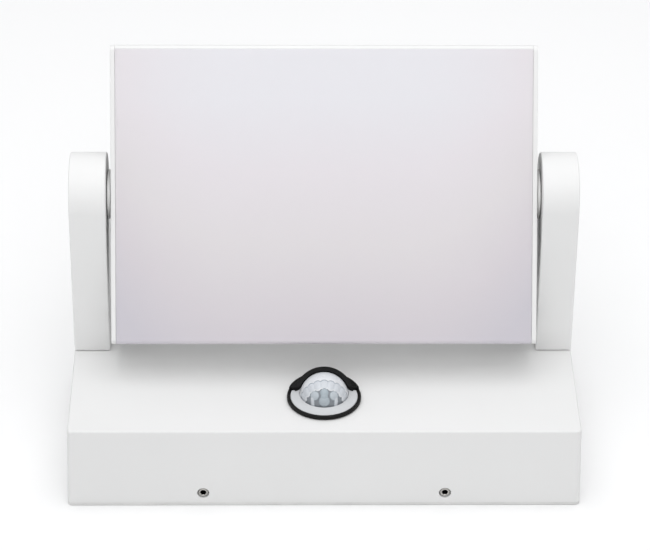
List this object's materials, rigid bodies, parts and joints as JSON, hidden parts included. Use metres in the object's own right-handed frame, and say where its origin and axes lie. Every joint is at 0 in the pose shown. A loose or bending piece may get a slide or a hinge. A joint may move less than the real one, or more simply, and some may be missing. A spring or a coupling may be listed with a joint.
{
  "type": "motion sensor floodlight",
  "caption": "Wall floodlight with a flat opal lamp head tilting between two round-topped arms on a box base with a hooded infrared motion sensor.",
  "frame": {"origin": "middle of the wall bracket's mounting face, which is also the face it rests on when it stands free", "axes": "+Z out of the wall towards the room, +Y up the wall, +X to the right along the long side of the base"},
  "size_m": [0.242, 0.1307, 0.186],
  "materials": {
    "white_casting": "matte",
    "white_plastic": "matte",
    "opal": "satin",
    "black_plastic": "matte",
    "lens": "satin",
    "grey_plastic": "satin",
    "black_rubber": "matte",
    "white_rubber": "matte",
    "steel": "satin",
    "dark_steel": "satin",
    "zinc_steel": "satin",
    "brass": "satin",
    "green_board": "satin",
    "white_board": "satin",
    "blue_dial": "satin"
  },
  "bodies": {
    "base": {"base_housing": "white_casting", "back_gasket": "white_rubber", "wall_bracket": "zinc_steel", "cable_grommet": "black_rubber", "earth_screw": "brass", "led_driver": "white_plastic", "driver_screw_1": "steel", "driver_screw_2": "steel", "terminal_block": "white_plastic", "sensor_bezel": "black_plastic", "sensor_flange": "grey_plastic", "sensor_lens": "lens", "sensor_gasket": "black_rubber", "sensor_retainer": "black_plastic", "sensor_board": "green_board", "pir_element": "steel", "arm_lead": "white_rubber", "left_set_screw": "dark_steel", "right_set_screw": "dark_steel", "left_arm": "white_casting", "right_arm": "white_casting", "left_arm_cover": "white_casting", "right_arm_cover": "white_casting", "left_cover_screw_1": "steel", "left_cover_screw_2": "steel", "right_cover_screw_1": "steel", "right_cover_screw_2": "steel", "left_arm_screw_1": "steel", "left_arm_screw_2": "steel", "right_arm_screw_1": "steel", "right_arm_screw_2": "steel", "left_pivot_bush": "black_plastic", "right_pivot_bush": "black_plastic", "left_friction_washer": "white_plastic", "right_friction_washer": "white_plastic"},
    "lamp_head": {"head_housing": "white_casting", "diffuser": "opal", "head_gasket": "white_rubber", "reflector": "white_plastic", "led_board": "white_board", "head_lead": "white_rubber", "left_end_cap": "white_casting", "right_end_cap": "white_casting", "left_cap_screw_1": "steel", "left_cap_screw_2": "steel", "right_cap_screw_1": "steel", "right_cap_screw_2": "steel", "left_pivot_axle": "steel", "right_pivot_axle": "steel", "left_spring_washer": "dark_steel", "right_spring_washer": "dark_steel", "left_lock_nut": "zinc_steel", "right_lock_nut": "zinc_steel", "left_pivot_seal": "black_rubber", "right_pivot_seal": "black_rubber"},
    "range_dial": {"range_dial": "blue_dial"},
    "time_dial": {"time_dial": "blue_dial"},
    "lux_dial": {"lux_dial": "blue_dial"}
  },
  "joints": [
    {"name": "head_tilt", "type": "hinge", "parent": "base", "child": "lamp_head", "pos_m": [0, 0.033, 0.119], "axis": [-1, 0, 0], "range_deg": [-28, 150]},
    {"name": "range_dial_turn", "type": "hinge", "parent": "base", "child": "range_dial", "pos_m": [-0.02, -0.0365, 0.026], "axis": [0, 0, 1], "range_deg": [-135, 135]},
    {"name": "time_dial_turn", "type": "hinge", "parent": "base", "child": "time_dial", "pos_m": [0, -0.0365, 0.026], "axis": [0, 0, 1], "range_deg": [-135, 135]},
    {"name": "lux_dial_turn", "type": "hinge", "parent": "base", "child": "lux_dial", "pos_m": [0.02, -0.0365, 0.026], "axis": [0, 0, 1], "range_deg": [-135, 135]}
  ]
}
